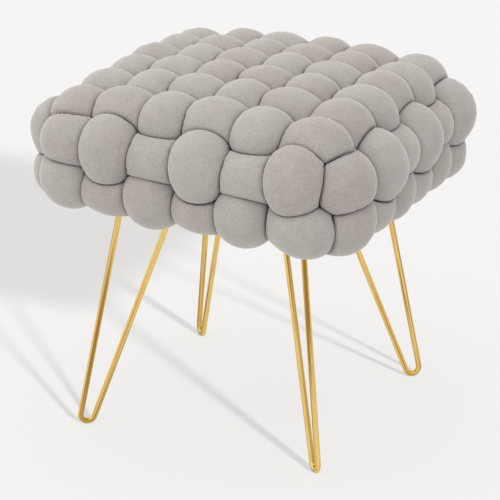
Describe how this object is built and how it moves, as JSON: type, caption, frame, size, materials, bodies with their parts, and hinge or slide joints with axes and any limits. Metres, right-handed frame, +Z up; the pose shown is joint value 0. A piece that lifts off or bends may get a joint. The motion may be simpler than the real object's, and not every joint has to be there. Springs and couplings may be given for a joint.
{
  "type": "braided velvet pouf on hairpin legs",
  "caption": "Square pouf seat of stuffed velvet tubes in a plain weave, with braided sides, standing on splayed gold hairpin legs.",
  "frame": {"origin": "on the floor under the middle of the seat", "axes": "+Z up, front towards -Y, a side of the square seat along X"},
  "size_m": [0.4572, 0.4538, 0.4633],
  "materials": {
    "velvet": "light warm grey velvet, short dense nap",
    "gold": "polished gold plating",
    "board_cloth": "dark dust cloth over the board"
  },
  "bodies": {
    "root": {"column_1": "velvet", "column_2": "velvet", "column_3": "velvet", "column_4": "velvet", "column_5": "velvet", "column_6": "velvet", "row_1": "velvet", "row_2": "velvet", "row_3": "velvet", "row_4": "velvet", "row_5": "velvet", "row_6": "velvet", "upper_band": "velvet", "lower_band": "velvet", "seat_board": "board_cloth", "leg_plate_front_left": "gold", "leg_front_left": "gold", "leg_plate_front_right": "gold", "leg_front_right": "gold", "leg_plate_back_right": "gold", "leg_back_right": "gold", "leg_plate_back_left": "gold", "leg_back_left": "gold"}
  },
  "joints": []
}
